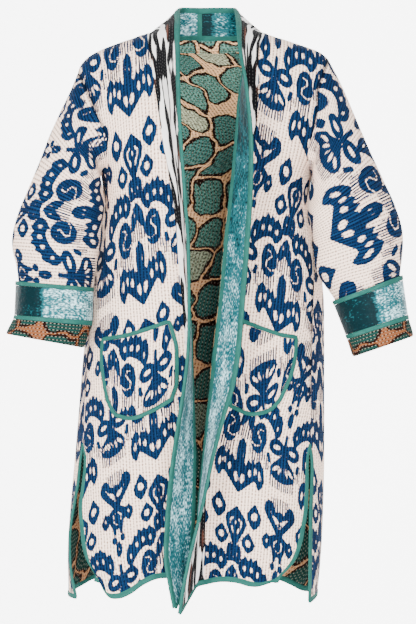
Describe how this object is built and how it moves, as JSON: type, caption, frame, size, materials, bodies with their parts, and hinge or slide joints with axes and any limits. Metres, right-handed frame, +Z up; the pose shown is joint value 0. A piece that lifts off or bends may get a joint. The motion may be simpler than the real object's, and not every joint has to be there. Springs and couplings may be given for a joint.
{
  "type": "quilted robe",
  "caption": "Open-front, knee-length quilted cotton robe with a velvet-faced collar, wide turned-back cuffs, patch pockets and side slits, in its worn shape.",
  "frame": {"origin": "middle of the shoulder line, at the base of the wearer's neck", "axes": "+X to the wearer's left, -Y out of the wearer's chest, +Z up"},
  "size_m": [0.7329, 0.3655, 1.1],
  "materials": {
    "ikat_cotton": "quilted cotton with a blue warp-dyed pattern on cream",
    "striped_cotton": "quilted cotton with a streaky black and white warp-dyed pattern",
    "crushed_velvet": "crushed teal velvet",
    "teal_binding": "plain teal cotton bias binding",
    "pebble_cotton": "quilted cotton printed with teal pebble shapes on tan"
  },
  "bodies": {
    "root": {"back": "ikat_cotton", "band_left": "striped_cotton", "band_right": "striped_cotton", "collar_tape": "teal_binding", "cuff_lining_left": "pebble_cotton", "cuff_lining_right": "pebble_cotton", "cuff_lower_binding_left": "teal_binding", "cuff_lower_binding_right": "teal_binding", "cuff_upper_binding_left": "teal_binding", "cuff_upper_binding_right": "teal_binding", "cuff_velvet_left": "crushed_velvet", "cuff_velvet_right": "crushed_velvet", "edge_binding_left": "teal_binding", "edge_binding_right": "teal_binding", "facing_binding_left": "teal_binding", "facing_binding_right": "teal_binding", "facing_left": "crushed_velvet", "facing_right": "crushed_velvet", "front_left": "ikat_cotton", "front_right": "ikat_cotton", "hem_binding_back": "teal_binding", "hem_binding_left": "teal_binding", "hem_binding_right": "teal_binding", "pocket_binding_left": "teal_binding", "pocket_binding_right": "teal_binding", "pocket_left": "ikat_cotton", "pocket_right": "ikat_cotton", "sleeve_left": "ikat_cotton", "sleeve_right": "ikat_cotton"}
  },
  "joints": []
}
